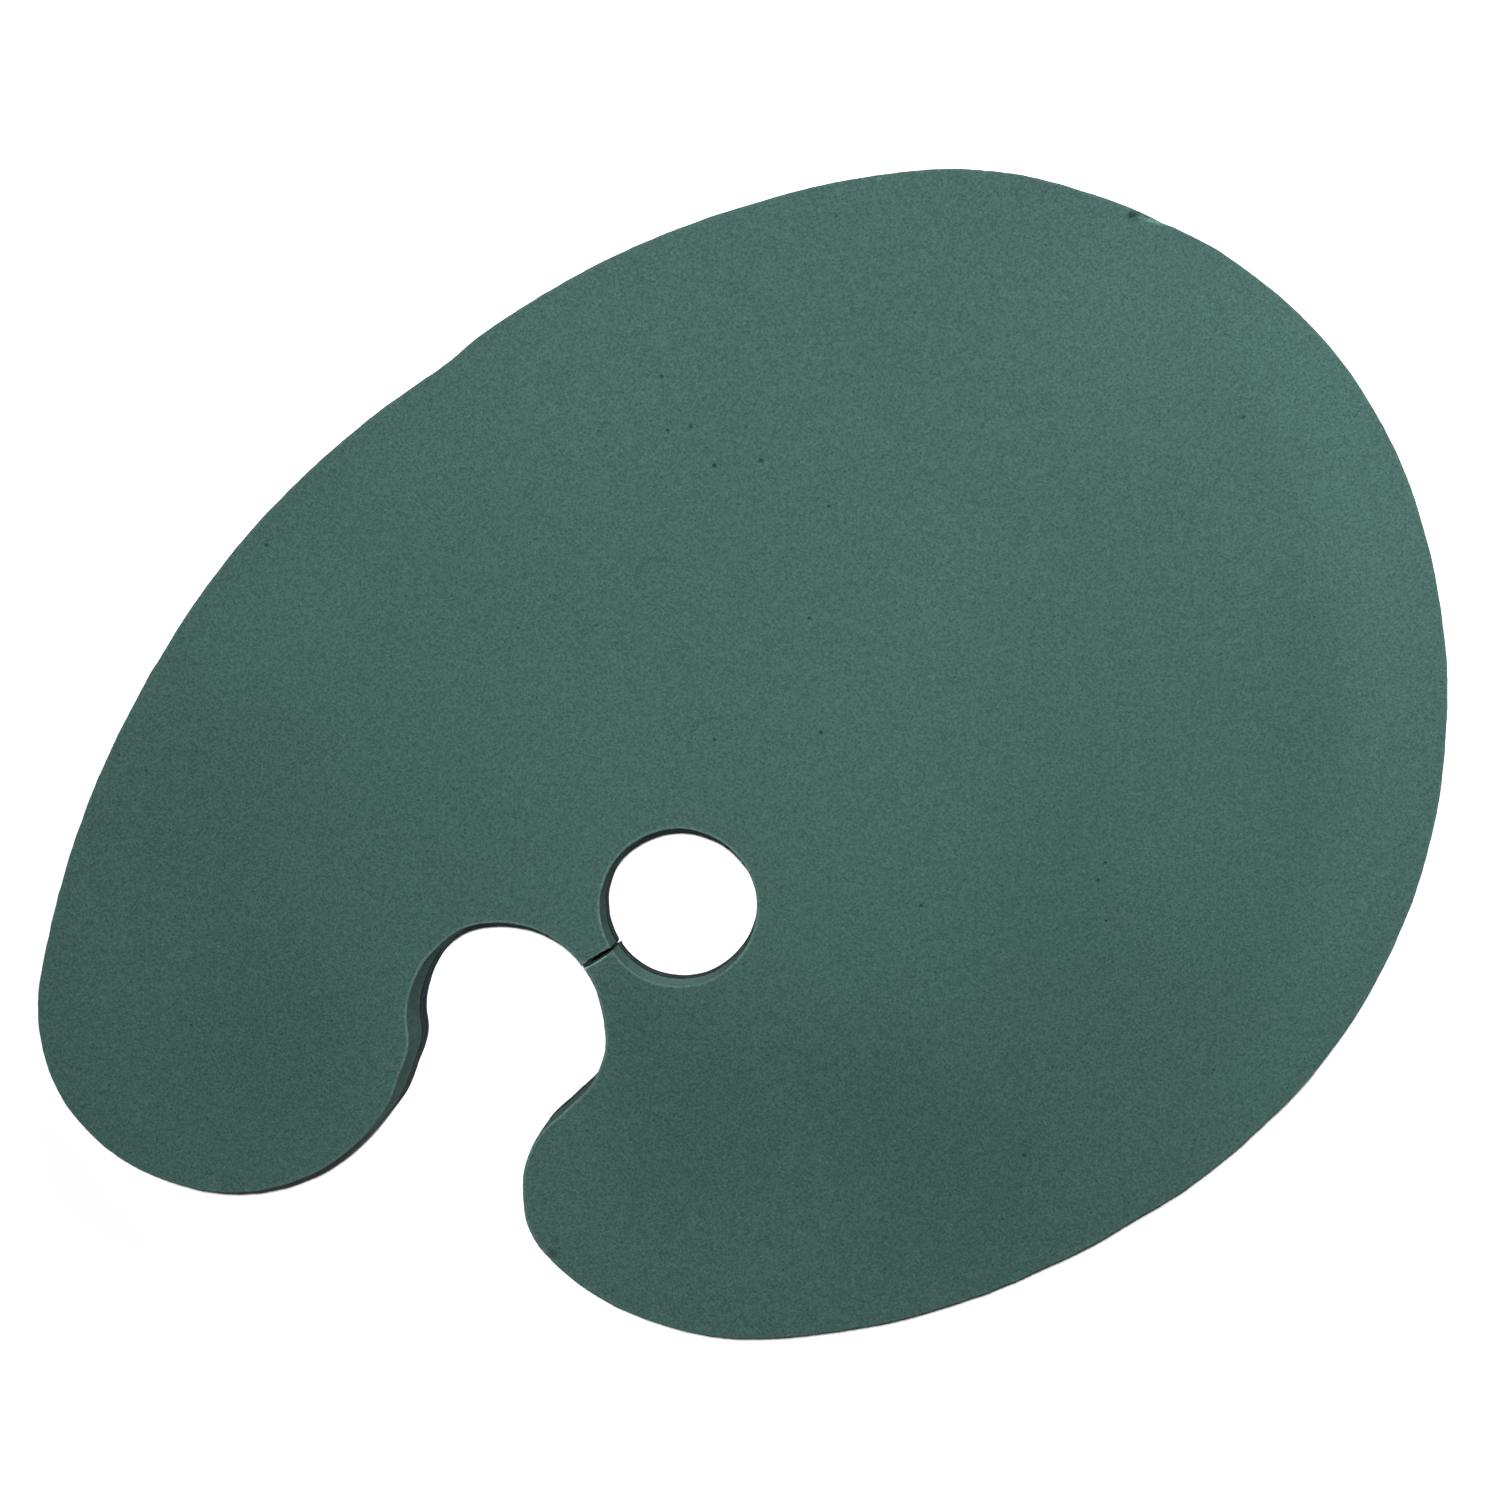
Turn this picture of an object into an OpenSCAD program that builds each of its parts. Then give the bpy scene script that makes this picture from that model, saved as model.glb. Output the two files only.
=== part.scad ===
// Artist's palette base for funeral and show flowers: a slab of wet floral foam
// glued to a dark polystyrene backing board, both cut to one hand-drawn outline.
// Units are millimetres. The board's underside lies on z = 0, +Z is up through
// the foam, +X runs along the palette's length to its blunt end, and the origin
// is under the middle of the outline's box.

/* [Palette] */
// Length, from the heel beside the finger notch to the blunt end
palette_length = 610; // [560:5:660]
// Width across the palette
palette_width = 452; // [420:4:484]

/* [Layers] */
// Thickness of the floral foam slab
foam_thickness = 33; // [20:1:60]
// Thickness of the glue film between slab and board
glue_thickness = 0.5; // [0.3:0.1:1.5]
// Thickness of the polystyrene backing board
backing_thickness = 16.5; // [10:0.5:40]
// How far the glue film stops short of the cut edges
glue_inset = 1; // [0.5:0.5:3]

/* [Thumb hole] */
// Diameter of the round thumb hole
thumb_hole_diameter = 64.4; // [50:0.2:76]
// Width of the slit that the blade left between the finger notch and the hole
slit_width = 1.6; // [0.8:0.2:3]

/* [Hidden] */

// Stations that the outline passes through, anticlockwise seen from above, laid
// out for a palette 610 long and 452 wide and scaled to the size asked for.
LAYOUT_SIZE = [610, 452];
BLUNT_END = [[305, 18], [299, 63], [280, 109], [248, 152], [209, 186]];
FAR_EDGE = [
    [162, 207], [108, 220], [55, 226], [-3, 223], [-23, 219],
    [-60, 214], [-106, 203], [-148, 187], [-199, 158], [-242, 125]
];
HEEL = [
    [-277, 89], [-298, 60], [-305, 28], [-299, 0],
    [-282, -26], [-255, -45], [-222, -51]
];
FINGER_NOTCH = [
    [-192, -43], [-178, -32], [-169, -23], [-164, -12], [-157, -3],
    [-148, 4], [-136, 8], [-126, 9], [-114, 5], [-103, -3],
    [-94, -16], [-90, -34], [-93, -51], [-99, -63], [-110, -72],
    [-126, -77], [-140, -81], [-152, -92], [-160, -112]
];
NEAR_EDGE = [
    [-156, -134], [-142, -159], [-113, -187], [-69, -208], [-20, -221],
    [33, -226], [62, -225], [91, -223], [145, -210], [189, -189],
    [231, -156], [263, -117], [286, -74], [301, -25]
];
STATIONS = concat(BLUNT_END, FAR_EDGE, HEEL, FINGER_NOTCH, NEAR_EDGE);

// Middle of the thumb hole and direction of the slit from it, in the same layout
THUMB_HOLE_AT = [-44.4, -24.7];
SLIT_DIRECTION = 184;
// Reach of the slit past the rim of the hole, enough to break into the notch
SLIT_REACH = 25;

// Curve points drawn between one station and the next
STEPS = 6;
// How far a cutting tool runs past a face
OVERRUN = 1;
// Facets that a drawn circle is shown with
CIRCLE_FACETS = 180;

FOAM_COLOUR = [0.28, 0.40, 0.37];
GLUE_COLOUR = [0.12, 0.16, 0.15];
BACKING_COLOUR = [0.16, 0.21, 0.23];

// Heights of the layers' undersides
glue_z = backing_thickness;
foam_z = backing_thickness + glue_thickness;

// Entry i of a closed list, where i may run past either end
function wrapped(list, i) = list[(i + len(list)) % len(list)];

// The value at time t on the line that passes through a at ta and b at tb
function between(a, b, ta, tb, t) = ((tb - t) * a + (t - ta) * b) / (tb - ta);

// Time that a centripetal spline takes from point a to point b
function spline_time(a, b) = sqrt(norm(b - a));

// Point at share u of the span from b to c on a centripetal Catmull-Rom spline
function spline_point(a, b, c, d, u) =
    let (
        tb = spline_time(a, b),
        tc = tb + spline_time(b, c),
        td = tc + spline_time(c, d),
        t = tb + u * (tc - tb),
        ab = between(a, b, 0, tb, t),
        bc = between(b, c, tb, tc, t),
        cd = between(c, d, tc, td, t)
    )
    between(between(ab, bc, 0, tc, t), between(bc, cd, tb, td, t), tb, tc, t);

// Closed smooth curve through a list of stations
function smooth_loop(stations) = [
    for (i = [0 : len(stations) - 1], step = [0 : STEPS - 1])
        spline_point(
            wrapped(stations, i - 1), stations[i],
            wrapped(stations, i + 1), wrapped(stations, i + 2),
            step / STEPS
        )
];

// Least and greatest of one coordinate over a list of points
function lowest(points, axis) = min([for (p = points) p[axis]]);
function highest(points, axis) = max([for (p = points) p[axis]]);
function middle(points, axis) = (lowest(points, axis) + highest(points, axis)) / 2;
function extent(points, axis) = highest(points, axis) - lowest(points, axis);

// The outline as laid out, and the change that centres it and gives it its size
layout = smooth_loop(STATIONS);
layout_middle = [middle(layout, 0), middle(layout, 1)];
layout_scale = [palette_length / extent(layout, 0), palette_width / extent(layout, 1)];
function placed(p) = [
    (p[0] - layout_middle[0]) * layout_scale[0],
    (p[1] - layout_middle[1]) * layout_scale[1]
];
outline = [for (p = layout) placed(p)];
thumb_hole_centre = placed(THUMB_HOLE_AT);

// The same closed curve moved square to itself, towards its inside
function inset_loop(points, distance) = [
    for (i = [0 : len(points) - 1])
        let (
            along = wrapped(points, i + 1) - wrapped(points, i - 1),
            inward = [-along[1], along[0]] / norm(along)
        )
        points[i] + distance * inward
];

// Round tool for the thumb hole, grown by the inset of the layer that it cuts
module thumb_hole_tool(height, inset) {
    translate([thumb_hole_centre[0], thumb_hole_centre[1], -OVERRUN])
        cylinder(h = height + 2 * OVERRUN, r = thumb_hole_diameter / 2 + inset, $fn = CIRCLE_FACETS);
}

// Thin blade that opens the neck between the thumb hole and the finger notch
module slit_tool(height, inset) {
    blade_width = slit_width + 2 * inset;
    translate([thumb_hole_centre[0], thumb_hole_centre[1], -OVERRUN])
        rotate([0, 0, SLIT_DIRECTION])
            translate([0, -blade_width / 2, 0])
                cube([thumb_hole_diameter / 2 + SLIT_REACH, blade_width, height + 2 * OVERRUN]);
}

// One flat layer of the palette: the outline, less the thumb hole and the slit
module palette_layer(height, inset = 0) {
    difference() {
        linear_extrude(height = height)
            polygon(inset == 0 ? outline : inset_loop(outline, inset));
        thumb_hole_tool(height, inset);
        slit_tool(height, inset);
    }
}

// Stiff polystyrene board that the palette lies on
module backing_board() {
    color(BACKING_COLOUR)
        palette_layer(backing_thickness);
}

// Film of glue that holds the slab on the board
module glue_film() {
    color(GLUE_COLOUR)
        translate([0, 0, glue_z])
            palette_layer(glue_thickness, glue_inset);
}

// Slab of floral foam that the stems are pushed into
module foam_slab() {
    color(FOAM_COLOUR)
        translate([0, 0, foam_z])
            palette_layer(foam_thickness);
}

backing_board();
glue_film();
foam_slab();
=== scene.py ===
"""Looks for the floral foam palette base.

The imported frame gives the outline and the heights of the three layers. Each layer is
rebuilt here as a closed mesh on that outline: a slab of open-cell foam with a soft,
crumbly rim, a ragged film of glue, and a backing board of expanded polystyrene beads.
Lengths are in metres, and MM turns millimetres into them.
"""

import math

import bpy
import numpy as np
from mathutils import Matrix, Vector, kdtree, noise
from mathutils.geometry import delaunay_2d_cdt


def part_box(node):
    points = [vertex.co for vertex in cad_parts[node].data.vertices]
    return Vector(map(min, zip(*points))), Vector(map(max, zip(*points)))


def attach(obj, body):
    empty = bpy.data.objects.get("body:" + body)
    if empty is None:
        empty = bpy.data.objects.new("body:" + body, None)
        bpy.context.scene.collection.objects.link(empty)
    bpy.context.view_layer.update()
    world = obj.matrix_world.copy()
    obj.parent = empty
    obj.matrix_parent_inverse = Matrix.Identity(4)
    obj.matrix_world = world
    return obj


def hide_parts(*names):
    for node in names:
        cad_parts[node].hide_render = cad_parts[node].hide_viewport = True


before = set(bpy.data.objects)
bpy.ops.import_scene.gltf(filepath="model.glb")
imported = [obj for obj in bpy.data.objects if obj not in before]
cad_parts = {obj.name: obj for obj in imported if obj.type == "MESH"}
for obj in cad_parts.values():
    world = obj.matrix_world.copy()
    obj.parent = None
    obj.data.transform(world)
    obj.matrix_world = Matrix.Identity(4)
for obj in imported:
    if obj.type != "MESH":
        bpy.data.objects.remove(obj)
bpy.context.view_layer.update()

MM = 0.001

# How finely the cut edges are drawn
EDGE_SPACING = 1.25 * MM
LIP_SPACING = 0.5 * MM
CURVE_STEPS = 12
SHARP_TURN = math.radians(40)
LONGEST_LIP = 20 * MM

# How far a cut point may move at a sharp corner, and how much more when it moves outward
CORNER_REACH = 0.15 * MM
CORNER_EXTRA = 0.2 * MM

# How finely the flat faces are drawn
FACE_SPACING = 2.4 * MM
HIDDEN_SPACING = 12 * MM


# ---------------------------------------------------------------- noise and shapes


def ripple(points, wavelength, seed):
    """Smooth noise from -1 to 1 at each point, with bumps about a wavelength apart."""
    shift = Vector((17.3, 5.9, 29.1)) * seed
    return np.array([noise.noise(Vector(p) / wavelength + shift) for p in points])


def beads(points, size, seed):
    """How far each point is from the joint between two packed beads, from 0 to about 1."""
    shift = Vector((11.7, 3.1, 7.9)) * seed
    nearest = [noise.voronoi(Vector(p) / size + shift)[0] for p in points]
    return np.array([distances[1] - distances[0] for distances in nearest])


def at_height(plan, z):
    """Plan points raised to a height, which may differ from point to point."""
    return np.column_stack([plan, np.broadcast_to(z, len(plan))])


def unit(vectors):
    return vectors / np.maximum(np.linalg.norm(vectors, axis=1, keepdims=True), 1e-12)


def soft_step(value, low, high):
    """0 below low, 1 above high, and a smooth change between."""
    t = np.clip((value - low) / (high - low), 0, 1)
    return t * t * (3 - 2 * t)


# ---------------------------------------------------------------- the outline


def face_outline(node):
    """The edge of a node's top face, in order, with the material on its left."""
    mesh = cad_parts[node].data
    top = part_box(node)[1].z
    places = [tuple(round(c, 5) for c in v.co) for v in mesh.vertices]
    sides = set()
    for face in mesh.polygons:
        ring = [places[i] for i in face.vertices]
        if all(abs(p[2] - top) < 2e-5 for p in ring):
            sides.update((a, b) for a, b in zip(ring, ring[1:] + ring[:1]) if a != b)
    onward = {a: b for a, b in sides if (b, a) not in sides}
    loop = [max(onward)]
    while onward[loop[-1]] != loop[0]:
        loop.append(onward[loop[-1]])
    return np.array(loop)[:, :2]


def runs_between_corners(loop):
    """The closed loop cut at its sharp corners, as open runs that share their ends."""
    ahead = np.roll(loop, -1, 0) - loop
    behind = loop - np.roll(loop, 1, 0)
    cross = behind[:, 0] * ahead[:, 1] - behind[:, 1] * ahead[:, 0]
    turn = np.arctan2(cross, (behind * ahead).sum(1))
    corners = np.flatnonzero(np.abs(turn) > SHARP_TURN)
    runs = []
    for start, end in zip(corners, np.roll(corners, -1)):
        count = (end - start) % len(loop) + 1
        runs.append(loop[(start + np.arange(count)) % len(loop)])
    return runs


def smooth_run(run):
    """A centripetal curve through the points of an open run, drawn in short steps."""
    ends = np.vstack([2 * run[0] - run[1], run, 2 * run[-1] - run[-2]])
    a, b, c, d = ends[:-3], ends[1:-2], ends[2:-1], ends[3:]
    pairs = ((a, b), (b, c), (c, d))
    times = [np.sqrt(np.linalg.norm(q - p, axis=1))[:, None] for p, q in pairs]
    ta, tb = np.zeros_like(times[0]), times[0]
    tc = tb + times[1]
    td = tc + times[2]
    steps = []
    for share in np.arange(CURVE_STEPS) / CURVE_STEPS:
        t = tb + share * (tc - tb)
        ab = ((tb - t) * a + (t - ta) * b) / (tb - ta)
        bc = ((tc - t) * b + (t - tb) * c) / (tc - tb)
        cd = ((td - t) * c + (t - tc) * d) / (td - tc)
        abc = ((tc - t) * ab + (t - ta) * bc) / (tc - ta)
        bcd = ((td - t) * bc + (t - tb) * cd) / (td - tb)
        steps.append(((tc - t) * abc + (t - tb) * bcd) / (tc - tb))
    return np.vstack([np.stack(steps, 1).reshape(-1, 2), run[-1:]])


class Cut:
    """One cut edge: points along it, the way into the material, and where the slit is. Its
    runs are the outside, the slit's upper lip, the hole and the slit's lower lip."""

    UPPER_LIP = 1
    LOWER_LIP = 3

    def __init__(self, node):
        runs = runs_between_corners(face_outline(node))
        longest = max(range(len(runs)), key=lambda i: len(runs[i]))
        runs = runs[longest:] + runs[:longest]
        plan, share, kind, room = [], [], [], []
        for number, run in enumerate(runs):
            curve = smooth_run(run)
            steps = np.linalg.norm(np.diff(curve, axis=0), axis=1)
            length = np.concatenate([[0], np.cumsum(steps)])
            is_lip = length[-1] < LONGEST_LIP
            count = round(length[-1] / (LIP_SPACING if is_lip else EDGE_SPACING))
            at = np.linspace(0, length[-1], count, endpoint=False)
            plan.append(np.column_stack([np.interp(at, length, curve[:, k]) for k in (0, 1)]))
            share.append(at / length[-1])
            kind.append(np.full(count, number))
            room.append(np.minimum(at, length[-1] - at))
        self.plan = np.vstack(plan)
        self.share = np.concatenate(share)
        self.kind = np.concatenate(kind)
        self.room = np.concatenate(room)
        self.on_lip = (self.kind == Cut.UPPER_LIP) | (self.kind == Cut.LOWER_LIP)
        ahead = unit(np.roll(self.plan, -1, 0) - self.plan)
        behind = unit(self.plan - np.roll(self.plan, 1, 0))
        along = unit(ahead + behind)
        self.inward = np.column_stack([-along[:, 1], along[:, 0]])
        self.miter = 1 / np.maximum((along * ahead).sum(1), 0.6)

    def moved(self, distance):
        """The plan points moved into the material, by less where a corner is close. A
        greater distance always gives a greater move, so that no two rings meet."""
        distance = np.broadcast_to(distance, len(self.plan))
        reach = CORNER_REACH + 0.5 * self.room
        limit = np.where(distance < 0, reach + CORNER_EXTRA, reach)
        distance = distance / np.sqrt(1 + (distance / limit) ** 2)
        return self.plan + self.inward * (self.miter * distance)[:, None]


def hand_wobble(cut):
    """How far the blade wandered from the drawn outline, the same for every layer."""
    plan = at_height(cut.plan, 0)
    wander = 0.30 * ripple(plan, 24 * MM, 1) + 0.16 * ripple(plan, 7 * MM, 2)
    return wander * MM


def slit_shape(cut):
    """How the slit differs from a plain parallel cut: it closes a little at both ends, and
    the lip on its far side is torn."""
    plan = at_height(cut.plan, 0)
    upper = cut.kind == Cut.UPPER_LIP
    lower = cut.kind == Cut.LOWER_LIP
    to_hole = np.where(upper, cut.share, 1 - cut.share)
    closing = 0.45 * (1 - soft_step(np.minimum(to_hole, 1 - to_hole), 0.0, 0.18)) - 0.32
    torn = 0.30 * ripple(plan, 1.6 * MM, 3) + 0.25 * ripple(plan, 0.7 * MM, 4)
    clean = 0.06 * ripple(plan, 2.5 * MM, 5)
    shape = np.where(upper, torn - closing, 0) + np.where(lower, clean - closing, 0)
    return shape * MM


# ---------------------------------------------------------------- mesh building


def inside(points, ring):
    """Which points lie inside a closed ring."""
    found = np.zeros(len(points), bool)
    x, y = points[:, 0], points[:, 1]
    for (x1, y1), (x2, y2) in zip(ring, np.roll(ring, -1, 0)):
        if y1 != y2:
            found ^= ((y1 > y) != (y2 > y)) & (x < (x2 - x1) * (y - y1) / (y2 - y1) + x1)
    return found


def nearest_distance(points, others):
    """Distance from each point to the nearest of some others."""
    tree = kdtree.KDTree(len(others))
    for i, p in enumerate(others):
        tree.insert((p[0], p[1], 0), i)
    tree.balance()
    return np.array([tree.find((p[0], p[1], 0))[2] for p in points])


def filled(ring, spacing, seed, extra=None):
    """Points inside a ring on a slightly uneven triangular grid, and the triangles that
    join them and the ring. Extra points are kept, and the grid leaves room for them."""
    rng = np.random.default_rng(seed)
    low, high = ring.min(0), ring.max(0)
    rows = np.arange(low[1], high[1], spacing * math.sqrt(3) / 2)
    columns = np.arange(low[0], high[0], spacing)
    x, y = np.meshgrid(columns, rows)
    x[1::2] += spacing / 2
    grid = np.column_stack([x.ravel(), y.ravel()])
    grid += rng.uniform(-0.18, 0.18, grid.shape) * spacing
    grid = grid[inside(grid, ring)]
    grid = grid[nearest_distance(grid, ring) > 0.7 * min(spacing, FACE_SPACING)]
    if extra is not None and len(extra):
        extra = extra[inside(extra, ring)]
        extra = extra[nearest_distance(extra, ring) > 0.5 * MM]
        grid = grid[nearest_distance(grid, extra) > 0.5 * FACE_SPACING]
        grid = np.vstack([grid, extra])
    count = len(ring)
    border = [(i, (i + 1) % count) for i in range(count)]
    points = [Vector(p) for p in np.vstack([ring, grid])]
    made = delaunay_2d_cdt(points, border, [], 1, 1e-8)
    if len(made[0]) != len(points):
        raise ValueError("the ring crosses itself, so the face can't be filled")
    return grid, np.array(made[2])


def closed_layer(name, rings, bottom, top):
    """A closed mesh: rings of equal length from the bottom to the top, and the two faces
    that close it. A face is (inner points, triangles, heights of the inner points)."""
    count = len(rings[0])
    vertices = list(rings)
    start = np.arange(count)
    faces = []
    for level in range(len(rings) - 1):
        a = start + level * count
        b = np.roll(start, -1) + level * count
        faces.append(np.column_stack([a, b, b + count, a + count]))
    total = count * len(rings)
    quads = np.vstack(faces)
    triangles = []
    for (inner, corners, heights), first, flip in (
        (bottom, 0, True),
        (top, count * (len(rings) - 1), False),
    ):
        on_ring = corners < count
        place = np.where(on_ring, corners + first, corners - count + total)
        triangles.append(place[:, ::-1] if flip else place)
        vertices.append(at_height(inner, heights))
        total += len(inner)
    mesh = bpy.data.meshes.new(name)
    everything = quads.tolist() + np.vstack(triangles).tolist()
    mesh.from_pydata(np.vstack(vertices).tolist(), [], everything)
    mesh.validate()
    mesh.shade_smooth()
    mesh.set_sharp_from_angle(angle=math.radians(55))
    piece = bpy.data.objects.new(name, mesh)
    bpy.context.scene.collection.objects.link(piece)
    return piece


def wall_rings(cut, low, high, rows, dent):
    """Rings up a cut wall. Low and high may differ along the cut, and dent says how far
    the wall stands in from the cut at each point."""
    rings = []
    for share in np.linspace(0, 1, rows):
        z = low + (high - low) * share
        depth = dent(at_height(cut.plan, z), share)
        rings.append(at_height(cut.moved(depth), z))
    return rings


def set_values(piece, name, values):
    """A number at each vertex, for the piece's material to read."""
    field = piece.data.attributes.new(name, "FLOAT", "POINT")
    field.data.foreach_set("value", np.asarray(values, np.float32))


def vertex_places(piece):
    places = np.zeros(len(piece.data.vertices) * 3, np.float32)
    piece.data.vertices.foreach_get("co", places)
    return places.reshape(-1, 3).astype(float)


# ---------------------------------------------------------------- marks on the foam

# Small pits in the top face: x, y, radius and depth, in millimetres
PITS = [
    (52, 172, 1.0, 1.6), (54, 129, 1.0, 1.6), (72, 122, 1.0, 1.5), (44, 151, 0.7, 1.0),
    (53, 148, 1.1, 1.3), (59, 55, 0.7, 1.0), (41, 11, 1.0, 1.4), (1, 29, 0.8, 1.1),
    (88, 92, 0.7, 0.9), (-49, 108, 0.6, 0.8), (-125, 187, 0.9, 1.2), (-212, 128, 0.7, 0.9),
    (-219, 139, 0.7, 0.8), (119, -91, 0.8, 1.0), (113, -96, 0.8, 1.1), (108, -112, 0.6, 0.8),
    (44, -71, 0.8, 1.1), (33, -181, 1.0, 1.4), (256, 44, 0.8, 1.1), (73, 137, 0.6, 0.6),
]
STRAY_PITS = 90

# Shallow curved dents in the top face: middle, radius, first and last angle, depth
ARC_DENTS = [
    ((11, 98), 9.0, 15, 190, 0.32),
    ((0, 27), 10.7, 8, 182, 0.30),
    ((22, 161), 4.5, 45, 185, 0.42),
    ((12, 185), 7.5, 45, 140, 0.22),
    ((4, 55), 13.5, 60, 140, 0.20),
    ((-23, 86), 7.5, 50, 165, 0.24),
    ((5, 53), 5.5, 50, 180, 0.16),
    ((25, 124), 7.5, 70, 170, 0.15),
]
ARC_WIDTH = 0.9

# Flakes broken from the rim: middle, reach along and across, slant of the long way in
# degrees, depth, and how pale the broken face is; a negative value is painted shade in the chip,
# darkest at its middle
FLAKES = [
    ((255.8, 139.4), 2.9, 0.9, -12, 2.8, -0.85),
    ((263.2, 132.6), 10.5, 2.0, -40, 1.2, 0.60),
    ((-156.3, -126.2), 3.0, 2.2, 0, 2.4, -0.60),
    ((-153.0, -121.0), 2.6, 1.8, 60, 0.4, -0.25),
    ((-261.3, 101.0), 2.4, 1.6, 60, 1.3, -0.30),
    ((170.6, 202.3), 2.4, 1.5, -20, 1.2, 0.30),
    ((210.1, 184.0), 2.2, 1.5, -30, 1.0, 0.30),
]

# Broad patches where the top face is paler or darker, partly painted light and shade and
# partly the foam's own uneven tone: middle, reach, and how much
PATCHES = [
    ((270, -30), 95, 0.07), ((0, -117), 110, -0.05), ((-180, 46), 75, -0.03),
    ((-76, -93), 50, -0.11), ((7, -168), 50, -0.08), ((-215, 4), 45, -0.08),
    ((-186, 98), 50, -0.06), ((108, -120), 60, -0.05), ((150, 165), 60, -0.04),
    ((244, 98), 55, 0.06), ((-133, 158), 35, 0.06), ((9, 182), 45, 0.04), ((51, -21), 50, 0.03),
    ((-108, 39), 45, -0.04), ((117, 39), 35, 0.04), ((154, -110), 40, 0.06),
    ((-10, -114), 30, -0.06),
    ((176, -206), 42, -0.06), ((-84, -50), 22, -0.07), ((228, 165), 35, -0.04),
    ((-62, 195), 28, 0.04), ((245, -8), 28, 0.04),
]

# Broad patches where it is greener than elsewhere: middle, reach, and how much
GREENER = [
    ((19, 125), 75, 1.0), ((-107, 124), 70, 0.6), ((40, -136), 55, 0.6), ((-191, -2), 50, 0.6),
    ((113, 60), 35, 0.9), ((-49, -132), 55, 0.8), ((14, 5), 40, 0.7),
]

# The band of painted light along the broad end's near side: the way to the side it lies on,
# where along that way it comes in, where it fades with distance from the edge, and how much paler
# it is
BAND_WAY = (0.88, -0.47)
BAND_FROM, BAND_FULL = 168, 250
BAND_FADES, BAND_ENDS = 24 * MM, 58 * MM
BAND_PAINTED_LIGHT = 0.17

# Between the hole and the notch, where handling left the rim palest, and how far that goes
GRIP_MIDDLE = (-85, -55)
GRIP_FULL, GRIP_ENDS = 85, 110

# The place on the hole's wall with the most painted light, how far that painted light reaches
# round it, and how much paler
LIT_HOLE_WALL = (-59, -53)
LIT_WALL_FULL, LIT_WALL_ENDS = 8, 34
LIT_WALL_PALER = 0.70

# How much paler the slit's near lip is
LIP_PALER = 1.1


def pit_list():
    """The placed pits, and stray smaller ones scattered over the face, in metres."""
    rng = np.random.default_rng(11)
    pits = [tuple(value * MM for value in pit) for pit in PITS]
    for _ in range(STRAY_PITS):
        x, y = rng.uniform(-295, 295), rng.uniform(-215, 215)
        radius = rng.uniform(0.28, 0.5)
        pits.append((x * MM, y * MM, radius * MM, radius * rng.uniform(0.8, 1.3) * MM))
    return pits


def mark_points(pits):
    """Extra points that the pits and the curved dents need."""
    turn = np.radians(np.arange(0, 360, 45))
    circle = np.column_stack([np.cos(turn), np.sin(turn)])
    points = []
    for x, y, radius, _ in pits:
        points.append([[x, y]])
        for share in (0.55, 1.0, 1.6):
            points.append(np.array([x, y]) + circle * radius * share)
    for (x, y), radius, first, last, _ in ARC_DENTS:
        angles = np.radians(np.arange(first, last, 5))
        ray = np.column_stack([np.cos(angles), np.sin(angles)])
        for step in (-1.6, -0.8, 0, 0.8, 1.6):
            points.append(np.array([x, y]) * MM + ray * (radius + step * ARC_WIDTH) * MM)
    return np.vstack(points)


def dent_depth(plan):
    """Depth of the curved dents at each plan point, in millimetres."""
    depth = np.zeros(len(plan))
    for (x, y), radius, first, last, deepest in ARC_DENTS:
        away = plan / MM - np.array([x, y])
        angle = np.degrees(np.arctan2(away[:, 1], away[:, 0])) % 360
        near = np.abs(np.hypot(away[:, 0], away[:, 1]) - radius)
        ends = soft_step(angle, first, first + 25) * (1 - soft_step(angle, last - 25, last))
        depth += deepest * ends * (1 - soft_step(near, 0.2, 1.5 * ARC_WIDTH))
    return depth


def top_relief(plan, pits):
    """Height of the foam's top face above or below its level, at each plan point."""
    flat = at_height(plan, 0)
    height = 0.22 * MM * (ripple(flat, 95 * MM, 6) - 0.5)
    height += 0.07 * MM * ripple(flat, 26 * MM, 7)
    height += 0.05 * MM * ripple(flat, 5 * MM, 8)
    for x, y, radius, depth in pits:
        near = np.hypot(plan[:, 0] - x, plan[:, 1] - y)
        height -= depth * (1 - soft_step(near, 0.35 * radius, 1.15 * radius))
    return height - dent_depth(plan) * MM


def flake_share(plan, flake):
    """How far into a flake each plan point is: 1 at its middle and 0 outside it."""
    (x, y), along, across, slant = flake[:4]
    turn = math.radians(slant)
    away = plan / MM - np.array([x, y])
    u = away[:, 0] * math.cos(turn) + away[:, 1] * math.sin(turn)
    v = away[:, 1] * math.cos(turn) - away[:, 0] * math.sin(turn)
    rough = 1 + 0.30 * ripple(at_height(plan, 0), 1.8 * MM, 9)
    return 1 - soft_step(np.hypot(u / along, v / across) * rough, 0.2, 1.0)


def flake_depth(plan):
    """How much of the rim has broken away at each plan point."""
    depth = np.zeros(len(plan))
    for flake in FLAKES:
        depth = np.maximum(depth, flake[4] * flake_share(plan, flake))
    return depth * MM


def patched(plan, patches):
    """The sum of broad soft patches at each plan point."""
    total = np.zeros(len(plan))
    for (x, y), reach, amount in patches:
        near = np.hypot(plan[:, 0] / MM - x, plan[:, 1] / MM - y)
        total += amount * (1 - soft_step(near, 0.1 * reach, 1.6 * reach))
    return total


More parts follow.
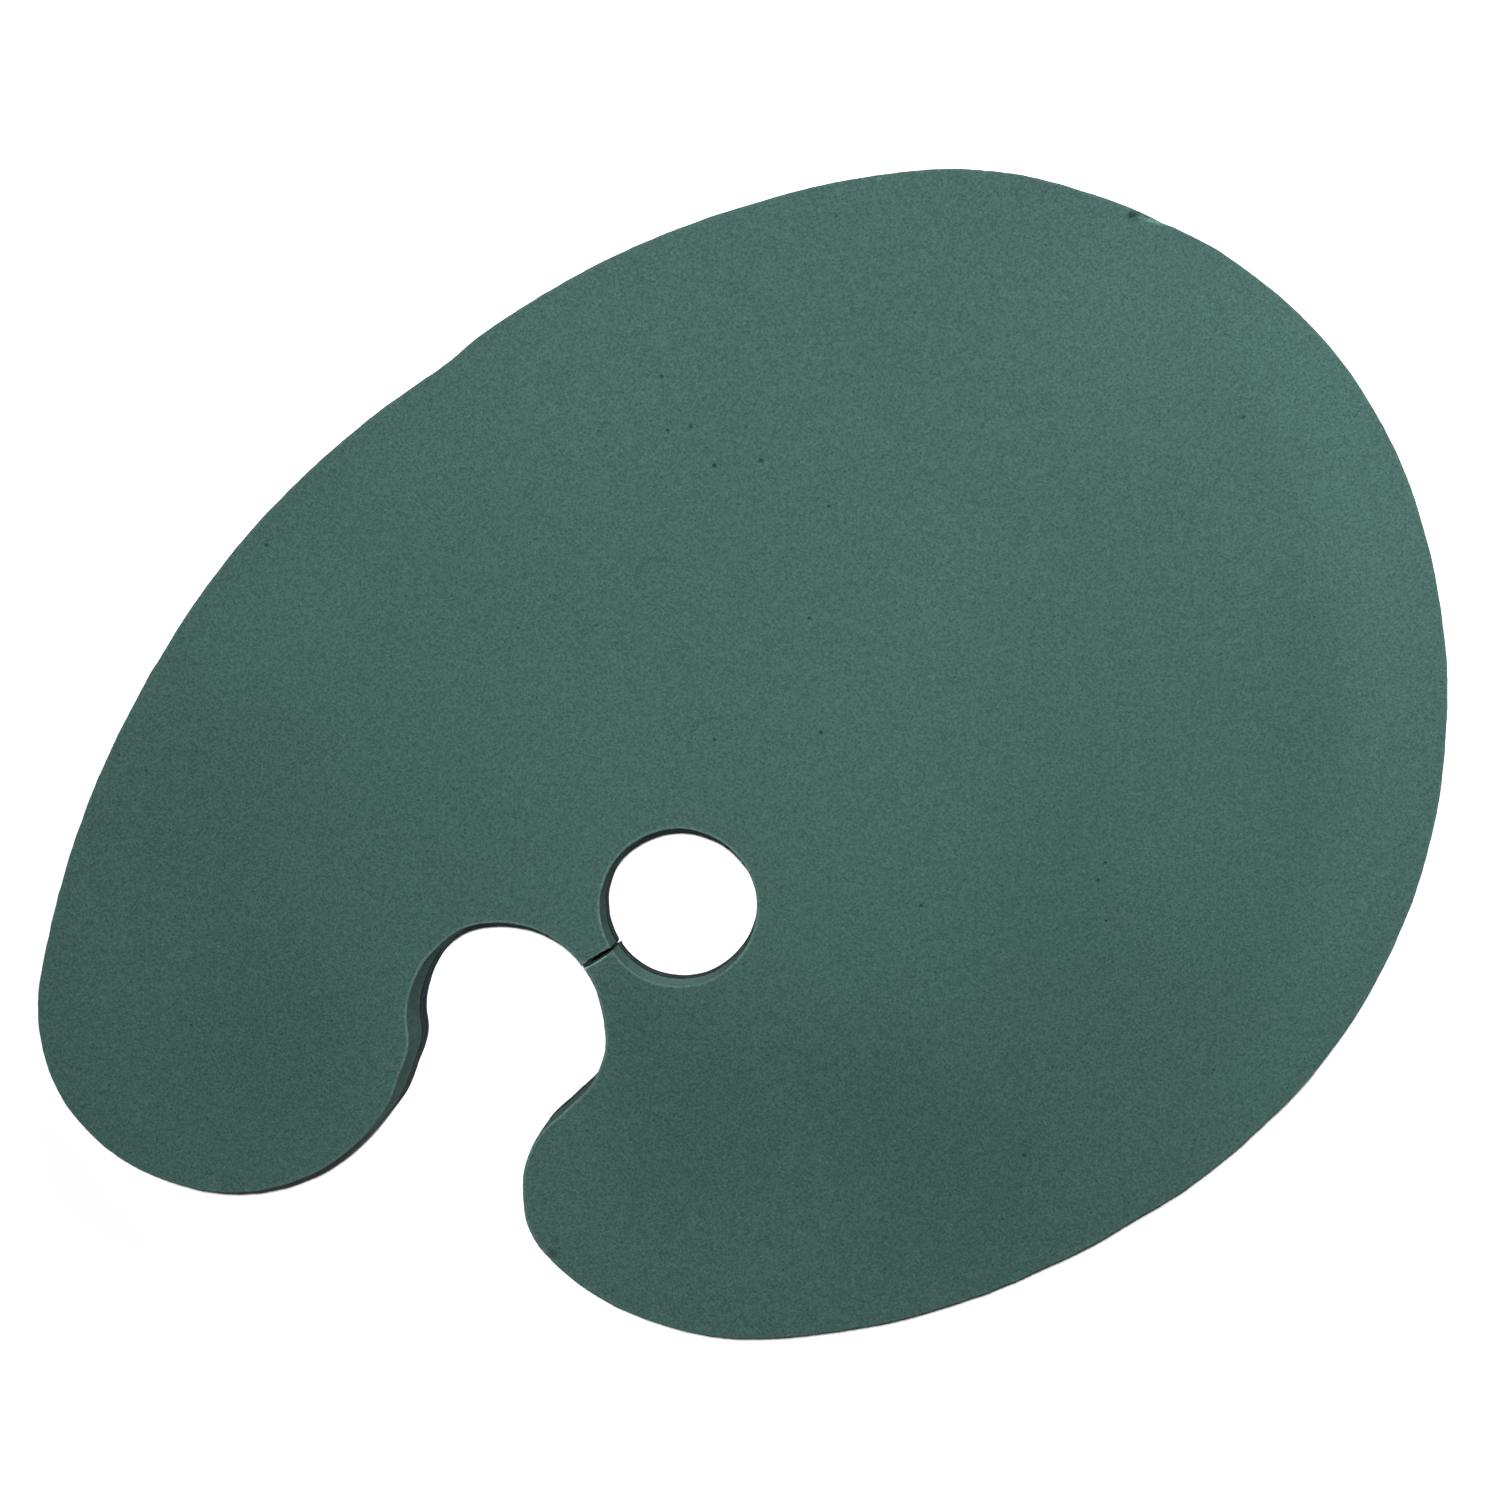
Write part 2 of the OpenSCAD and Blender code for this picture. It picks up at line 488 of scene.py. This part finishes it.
def top_tone(plan, from_edge, pits):
    """How pale the top face is at each plan point, with 1 for the usual tone. A band along
    the broad end's near side is painted light, the broad patches are partly painted light and
    shade, and the pits and dark chips get painted shade."""
    x, y = BAND_WAY
    along = (x * plan[:, 0] + y * plan[:, 1]) / MM
    band = 1 - soft_step(from_edge, BAND_FADES, BAND_ENDS)
    band = band * soft_step(along, BAND_FROM, BAND_FULL)
    # The band term is painted light; the patches are partly painted light and shade.
    tone = 1 + patched(plan, PATCHES) + BAND_PAINTED_LIGHT * band
    # A negative flake value paints shade into the chip; a positive one makes its broken face
    # paler.
    for flake in FLAKES:
        tone *= 1 + flake[5] * flake_share(plan, flake)
    # Painted shade: each pit is darkened toward its middle.
    for x, y, radius, _ in pits:
        near = np.hypot(plan[:, 0] - x, plan[:, 1] - y)
        tone *= 1 - 0.5 * (1 - soft_step(near, 0.4 * radius, 1.1 * radius))
    return tone * (1 - 0.45 * dent_depth(plan))


def rim_paleness(places, from_edge):
    """How dry and pale the rim is at each vertex: most round the hole and the notch."""
    x, y = GRIP_MIDDLE
    away = np.hypot(places[:, 0] / MM - x, places[:, 1] / MM - y)
    near_grip = 1 - soft_step(away, GRIP_FULL, GRIP_ENDS)
    return (1 - soft_step(from_edge, 0.3 * MM, 1.3 * MM)) * (0.25 + 0.55 * near_grip)


def wall_painted_light(places, top):
    """How pale the cut walls are: painted light on the hole's near wall, which faces the far
    lamp.
    """
    x, y = LIT_HOLE_WALL
    away = np.hypot(places[:, 0] / MM - x, places[:, 1] / MM - y)
    below = soft_step(top - places[:, 2], 0.4 * MM, 1.2 * MM)
    return 1 + LIT_WALL_PALER * below * (1 - soft_step(away, LIT_WALL_FULL, LIT_WALL_ENDS))


def lip_tone(places, cut):
    """How pale the top of the slit's near lip is: dust the blade pushed up along it."""
    lip = cut.plan[(cut.kind == Cut.LOWER_LIP) & (cut.share > 0.25)]
    away = nearest_distance(places, lip)
    return 1 + LIP_PALER * (1 - soft_step(away, 0.25 * MM, 1.0 * MM))


# ---------------------------------------------------------------- the three pieces


def foam_slab():
    """The slab: walls with blade marks, a soft crumbly rim, and a marked top face."""
    low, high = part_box("foam_slab")
    cut = Cut("foam_slab")
    blade = hand_wobble(cut) + slit_shape(cut)
    flat = at_height(cut.plan, 0)
    rim = 0.55 + 0.30 * ripple(flat, 9 * MM, 12) + 0.22 * ripple(flat, 2.4 * MM, 13)
    rim = np.clip(rim, 0.18, 1.2) * np.where(cut.on_lip, 0.35, 1.0) * MM
    broken = flake_depth(cut.plan)
    top_edge = high.z - rim - broken

    def dent(points, share):
        marks = 0.10 * ripple(points * (1, 1, 0.12), 2.2 * MM, 14)
        marks += 0.16 * ripple(points, 9 * MM, 15) + 0.07 * ripple(points, 1.7 * MM, 16)
        ragged = 0.35 * (1 - soft_step(share, 0.0, 0.06)) * (1 + ripple(points, 2 * MM, 17))
        return blade + (marks + ragged) * MM

    rings = wall_rings(cut, low.z, top_edge, 21, dent)
    crumble = 0.10 * MM * ripple(flat, 1.5 * MM, 18)
    for inset, drop in ((0.10, 0.55), (0.42, 0.16), (1.0, 0.0)):
        plan = cut.moved(blade + inset * rim + crumble)
        rings.append(at_height(plan, high.z - drop * rim - flake_depth(plan)))
    pits = pit_list()
    for inset in (0.9 * MM, 1.9 * MM):
        plan = cut.moved(blade + rim + inset)
        rings.append(at_height(plan, high.z + top_relief(plan, pits) - flake_depth(plan)))
    inner, corners = filled(rings[-1][:, :2], FACE_SPACING, 21, mark_points(pits))
    heights = high.z + top_relief(inner, pits) - flake_depth(inner)
    under, under_corners = filled(rings[0][:, :2], HIDDEN_SPACING, 22)
    piece = closed_layer(
        "foam_slab_cut_foam",
        rings,
        (under, under_corners, low.z),
        (inner, corners, heights),
    )
    places = vertex_places(piece)
    from_edge = nearest_distance(places, cut.plan)
    set_values(piece, "rim", rim_paleness(places, from_edge))
    set_values(piece, "green", patched(places[:, :2], GREENER))
    set_values(piece, "below_top", high.z - places[:, 2])
    # The hole's near wall gets painted light here.
    tone = top_tone(places[:, :2], from_edge, pits) * wall_painted_light(places, high.z)
    tone *= lip_tone(places, cut)
    set_values(piece, "tone", tone)
    return piece


def glue_film():
    """The film: an uneven edge where the glue stopped or squeezed out a little."""
    low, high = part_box("glue_film")
    cut = Cut("glue_film")
    flat = at_height(cut.plan, 0)
    squeezed = -0.35 * ripple(flat, 11 * MM, 31) - 0.25 * ripple(flat, 3 * MM, 32)
    rings = []
    for share, bulge in ((0.0, 0.0), (0.3, 0.22), (0.7, 0.22), (1.0, 0.0)):
        z = low.z + (high.z - low.z) * share
        rings.append(at_height(cut.moved((squeezed - bulge) * MM), z))
    top_inner, top_corners = filled(rings[-1][:, :2], HIDDEN_SPACING, 33)
    low_inner, low_corners = filled(rings[0][:, :2], HIDDEN_SPACING, 34)
    return closed_layer(
        "glue_film_dried_glue",
        rings,
        (low_inner, low_corners, low.z),
        (top_inner, top_corners, high.z),
    )


BEAD_SIZE = 4.2 * MM

# How far each lip of the slit springs back into it in the board
LIPS_SPRUNG = 0.50 * MM


def backing_board():
    """The board: packed beads that show on its cut walls and on its underside."""
    low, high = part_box("backing_board")
    cut = Cut("backing_board")
    blade = hand_wobble(cut) + slit_shape(cut) - np.where(cut.on_lip, LIPS_SPRUNG, 0)
    flat = at_height(cut.plan, 0)
    rim = (0.45 + 0.25 * ripple(flat, 6 * MM, 41)) * MM
    rim = np.where(cut.on_lip, 0.2 * MM, rim)

    def dent(points, share):
        joints = 1 - soft_step(beads(points, BEAD_SIZE, 42), 0.0, 0.22)
        lost = soft_step(ripple(points, 5 * MM, 43), 0.45, 0.6)
        return blade + (0.16 * joints + 0.45 * lost + 0.10 * ripple(points, 14 * MM, 44)) * MM

    rings = []
    for inset, lift in ((1.9, 0.0), (0.9, 0.0), (0.42, 0.16), (0.1, 0.55)):
        plan = cut.moved(blade + rim * min(inset, 1.0) + max(inset - 1.0, 0) * MM)
        rings.append(at_height(plan, low.z + lift * rim))
    rings += wall_rings(cut, low.z + rim, high.z - 0.15 * MM, 16, dent)
    rings.append(at_height(cut.moved(blade + 0.25 * MM), high.z))
    inner, corners = filled(rings[0][:, :2], FACE_SPACING, 45)
    joints = 1 - soft_step(beads(at_height(inner, low.z), BEAD_SIZE, 42), 0.0, 0.3)
    over, over_corners = filled(rings[-1][:, :2], HIDDEN_SPACING, 46)
    return closed_layer(
        "backing_board_bead_foam",
        rings,
        (inner, corners, low.z + 0.14 * MM * joints),
        (over, over_corners, high.z),
    )


# ---------------------------------------------------------------- materials


class Look:
    """A material being built: short calls for the nodes that the finishes share."""

    def __init__(self, name):
        self.material = bpy.data.materials.new(name)
        self.material.use_nodes = True
        self.nodes = self.material.node_tree.nodes
        self.links = self.material.node_tree.links
        self.shader = self.nodes["Principled BSDF"]
        self.place = self.nodes.new("ShaderNodeTexCoord").outputs["Object"]

    def link(self, source, target):
        self.links.new(source, target)

    def stretched(self, shape):
        """The place on the piece, scaled differently along x, y and z."""
        node = self.nodes.new("ShaderNodeMapping")
        node.inputs["Scale"].default_value = shape
        self.link(self.place, node.inputs["Vector"])
        return node.outputs["Vector"]

    def noise(self, size, detail=2.0, roughness=0.5, place=None):
        """Noise from 0 to 1 whose bumps are about this size, in metres."""
        node = self.nodes.new("ShaderNodeTexNoise")
        node.inputs["Scale"].default_value = 1 / size
        node.inputs["Detail"].default_value = detail
        node.inputs["Roughness"].default_value = roughness
        self.link(place or self.place, node.inputs["Vector"])
        return node.outputs["Fac"]

    def cells(self, size, feature="F1", output="Distance"):
        """Packed cells of this size: distance to the middle or edge, or a chance colour."""
        node = self.nodes.new("ShaderNodeTexVoronoi")
        node.feature = feature
        node.inputs["Scale"].default_value = 1 / size
        node.inputs["Randomness"].default_value = 0.8
        self.link(self.place, node.inputs["Vector"])
        return node.outputs[output]

    def field(self, name):
        """A number that the mesh holds at each vertex."""
        node = self.nodes.new("ShaderNodeAttribute")
        node.attribute_name = name
        return node.outputs["Fac"]

    def math(self, operation, a, b=0.0):
        node = self.nodes.new("ShaderNodeMath")
        node.operation = operation
        for socket, value in zip(node.inputs, (a, b)):
            if isinstance(value, (int, float)):
                socket.default_value = value
            else:
                self.link(value, socket)
        return node.outputs["Value"]

    def span(self, value, low, high, to_low=0.0, to_high=1.0):
        """A value mapped from one range to another, held at the ends."""
        node = self.nodes.new("ShaderNodeMapRange")
        node.inputs["From Min"].default_value = low
        node.inputs["From Max"].default_value = high
        node.inputs["To Min"].default_value = to_low
        node.inputs["To Max"].default_value = to_high
        self.link(value, node.inputs["Value"])
        return node.outputs["Result"]

    def mix(self, share, a, b):
        """Colour a where share is 0, and b where it is 1."""
        node = self.nodes.new("ShaderNodeMix")
        node.data_type = "RGBA"
        for socket, value in ((node.inputs[0], share), (node.inputs[6], a), (node.inputs[7], b)):
            if isinstance(value, tuple):
                socket.default_value = (*value, 1)
            elif isinstance(value, (int, float)):
                socket.default_value = value
            else:
                self.link(value, socket)
        return node.outputs[2]

    def scaled(self, colour, factor):
        """A colour made lighter or darker by a factor that varies over the surface."""
        node = self.nodes.new("ShaderNodeVectorMath")
        node.operation = "SCALE"
        self.link(colour, node.inputs[0])
        self.link(factor, node.inputs["Scale"])
        return node.outputs["Vector"]

    def bump(self, height, distance, strength=1.0):
        node = self.nodes.new("ShaderNodeBump")
        node.inputs["Strength"].default_value = strength
        node.inputs["Distance"].default_value = distance
        self.link(height, node.inputs["Height"])
        self.link(node.outputs["Normal"], self.shader.inputs["Normal"])


def foam_look():
    """Fine open-cell phenolic foam: dull green, velvety, with dark pores, and paler where
    the blade went through it."""
    look = Look("floral_foam_finish")
    grain = look.noise(0.9 * MM, 4, 0.75)
    clump = look.noise(5 * MM, 3, 0.55)
    cloud = look.noise(80 * MM, 3, 0.5)
    pores = look.cells(1.3 * MM)
    streaks = look.noise(1.6 * MM, 3, 0.6, look.stretched((1, 1, 0.07)))
    below_top = look.field("below_top")
    wall = look.span(below_top, 0.5 * MM, 1.5 * MM)
    colour = look.mix(look.field("green"), (0.0346, 0.0699, 0.0631), (0.0318, 0.0699, 0.0564))
    tinge = look.span(cloud, 0.3, 0.7, 0.0, 0.5)
    colour = look.mix(tinge, colour, (0.0318, 0.0686, 0.0593))
    colour = look.mix(look.span(clump, 0.3, 0.7, 0.0, 0.3), colour, (0.0351, 0.0746, 0.0644))
    colour = look.mix(look.field("rim"), colour, (0.0702, 0.1244, 0.1144))
    colour = look.mix(wall, colour, (0.0490, 0.1021, 0.0881))
    # The tone field carries painted light and shade as well as the foam's own tone.
    tone = look.math("MULTIPLY", look.field("tone"), look.span(grain, 0.25, 0.75, 0.47, 1.53))
    tone = look.math("MULTIPLY", tone, look.span(pores, 0.05, 0.35, 0.66, 1.0))
    cut = look.math("MULTIPLY", wall, look.span(streaks, 0.3, 0.7, -0.16, 0.16))
    tone = look.math("ADD", tone, cut)
    look.link(look.scaled(colour, tone), look.shader.inputs["Base Color"])
    look.link(look.span(clump, 0.3, 0.7, 0.92, 1.0), look.shader.inputs["Roughness"])
    look.shader.inputs["Specular IOR Level"].default_value = 0.03
    height = look.math("ADD", look.math("MULTIPLY", pores, 0.7), grain)
    height = look.math("ADD", height, look.math("MULTIPLY", wall, streaks))
    look.bump(height, 0.22 * MM, 0.7)
    return look.material


def glue_look():
    """Dried adhesive: nearly black, slightly glossy, with small lumps."""
    look = Look("glue_finish")
    lumps = look.noise(2.2 * MM, 3, 0.6)
    colour = look.mix(look.span(lumps, 0.3, 0.7), (0.009, 0.018, 0.017), (0.026, 0.042, 0.038))
    look.link(colour, look.shader.inputs["Base Color"])
    look.link(look.span(lumps, 0.3, 0.7, 0.42, 0.70), look.shader.inputs["Roughness"])
    look.bump(lumps, 0.25 * MM, 0.6)
    return look.material


def bead_look():
    """Dark expanded polystyrene: packed beads, each a slightly different tone, with fine
    grooves between them and almost no sheen."""
    look = Look("bead_board_finish")
    grooves = look.span(look.cells(BEAD_SIZE, "DISTANCE_TO_EDGE"), 0.0, 0.10)
    swell = look.span(look.cells(BEAD_SIZE), 0.1, 0.7, 1.0, 0.0)
    each = look.cells(BEAD_SIZE, "F1", "Color")
    small = look.noise(0.8 * MM, 3, 0.6)
    mottle = look.noise(9 * MM, 3, 0.5)
    darker, paler = (0.0085, 0.0206, 0.0257), (0.0124, 0.0280, 0.0341)
    colour = look.mix(look.span(mottle, 0.3, 0.7), darker, paler)
    speckle = look.span(small, 0.3, 0.7, 0.86, 1.14)
    tone = look.math("MULTIPLY", look.span(grooves, 0, 1, 0.45, 1.0), speckle)
    tone = look.math("MULTIPLY", tone, look.span(each, 0.1, 0.9, 0.72, 1.28))
    look.link(look.scaled(colour, tone), look.shader.inputs["Base Color"])
    look.link(look.span(small, 0.3, 0.7, 0.62, 0.80), look.shader.inputs["Roughness"])
    look.shader.inputs["Specular IOR Level"].default_value = 0.02
    height = look.math("ADD", look.math("ADD", grooves, swell), look.math("MULTIPLY", small, 0.2))
    look.bump(height, 0.30 * MM, 0.8)
    return look.material


def floor_look():
    """Plain pale studio floor."""
    look = Look("floor_finish")
    tone = look.noise(0.4, 2, 0.5)
    colour = look.mix(look.span(tone, 0.3, 0.7), (0.95, 0.95, 0.95), (0.97, 0.97, 0.97))
    look.link(colour, look.shader.inputs["Base Color"])
    look.shader.inputs["Roughness"].default_value = 0.9
    look.shader.inputs["Specular IOR Level"].default_value = 0.0
    return look.material


# ---------------------------------------------------------------- camera and studio


# The middle of the view on the foam's top, and how far the view is turned about Z
VIEW_MIDDLE = Vector((12.0, 18.5, 50.0)) * MM
VIEW_TURN = math.radians(28)
CAMERA_PLACE = Vector((9.2, 0.0, 869.6)) * MM
LENS_MM = 47.83
SENSOR_MM = 36

# Lamps: name, how far beyond, to the right of and above the view's middle in metres, size
# in metres, and power in watts
LAMPS = [
    ("top_lamp", 0.030, -0.013, 0.95, 0.018, 12.4),
    ("far_lamp", 0.55, 0.20, 0.50, 0.55, 6.05),
]
SURROUNDINGS = 0.04
FLOOR_SIZE = 12
FLOOR_GAP = 0.4 * MM


def view_ways():
    """The level directions to the far side and to the right of the view."""
    far = Vector((math.sin(VIEW_TURN), math.cos(VIEW_TURN), 0))
    right = Vector((math.cos(VIEW_TURN), -math.sin(VIEW_TURN), 0))
    return far, right


def aimed(item, place, target):
    """Puts a camera or light at a place, looking at a target, with +Y of the view up."""
    item.location = place
    item.rotation_euler = (Vector(target) - Vector(place)).to_track_quat("-Z", "Y").to_euler()


def add_camera():
    """A camera almost straight above, turned so that the palette lies askew in its view."""
    data = bpy.data.cameras.new("camera")
    data.lens = LENS_MM
    data.sensor_width = SENSOR_MM
    camera = bpy.data.objects.new("camera", data)
    bpy.context.scene.collection.objects.link(camera)
    back = (CAMERA_PLACE - VIEW_MIDDLE).normalized()
    far, _ = view_ways()
    right = far.cross(back).normalized()
    up = back.cross(right)
    turned = Matrix((right, up, back)).transposed().to_4x4()
    camera.matrix_world = Matrix.Translation(CAMERA_PLACE) @ turned
    data.clip_start = 0.02
    bpy.context.scene.camera = camera


def add_light(name, place, target, size, power):
    data = bpy.data.lights.new(name, "AREA")
    data.size = size
    data.energy = power
    light = bpy.data.objects.new(name, data)
    bpy.context.scene.collection.objects.link(light)
    light.visible_camera = False
    aimed(light, place, target)


def add_studio():
    """Pale floor, weak surroundings, a small lamp overhead and a soft one at the far side."""
    bpy.ops.mesh.primitive_plane_add(size=FLOOR_SIZE, location=(0, 0, -FLOOR_GAP))
    floor = bpy.context.object
    floor.name = "floor"
    floor.data.materials.append(floor_look())
    far, right = view_ways()
    for name, beyond, across, above, size, power in LAMPS:
        place = VIEW_MIDDLE + far * beyond + right * across + Vector((0, 0, above))
        add_light(name, place, VIEW_MIDDLE, size, power)
    world = bpy.data.worlds.new("studio")
    world.use_nodes = True
    background = world.node_tree.nodes["Background"]
    background.inputs["Color"].default_value = (1, 1, 1, 1)
    background.inputs["Strength"].default_value = SURROUNDINGS
    bpy.context.scene.world = world
    bpy.context.scene.view_settings.view_transform = "Standard"


# ---------------------------------------------------------------- assembly

add_camera()
add_studio()

PIECES = [
    ("foam_slab", foam_slab, foam_look, "floral_foam"),
    ("glue_film", glue_film, glue_look, "glue"),
    ("backing_board", backing_board, bead_look, "backing_polystyrene"),
]
for node, build, look, slot in PIECES:
    piece = build()
    piece.data.materials.append(look())
    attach(piece, "root")
    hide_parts(node)
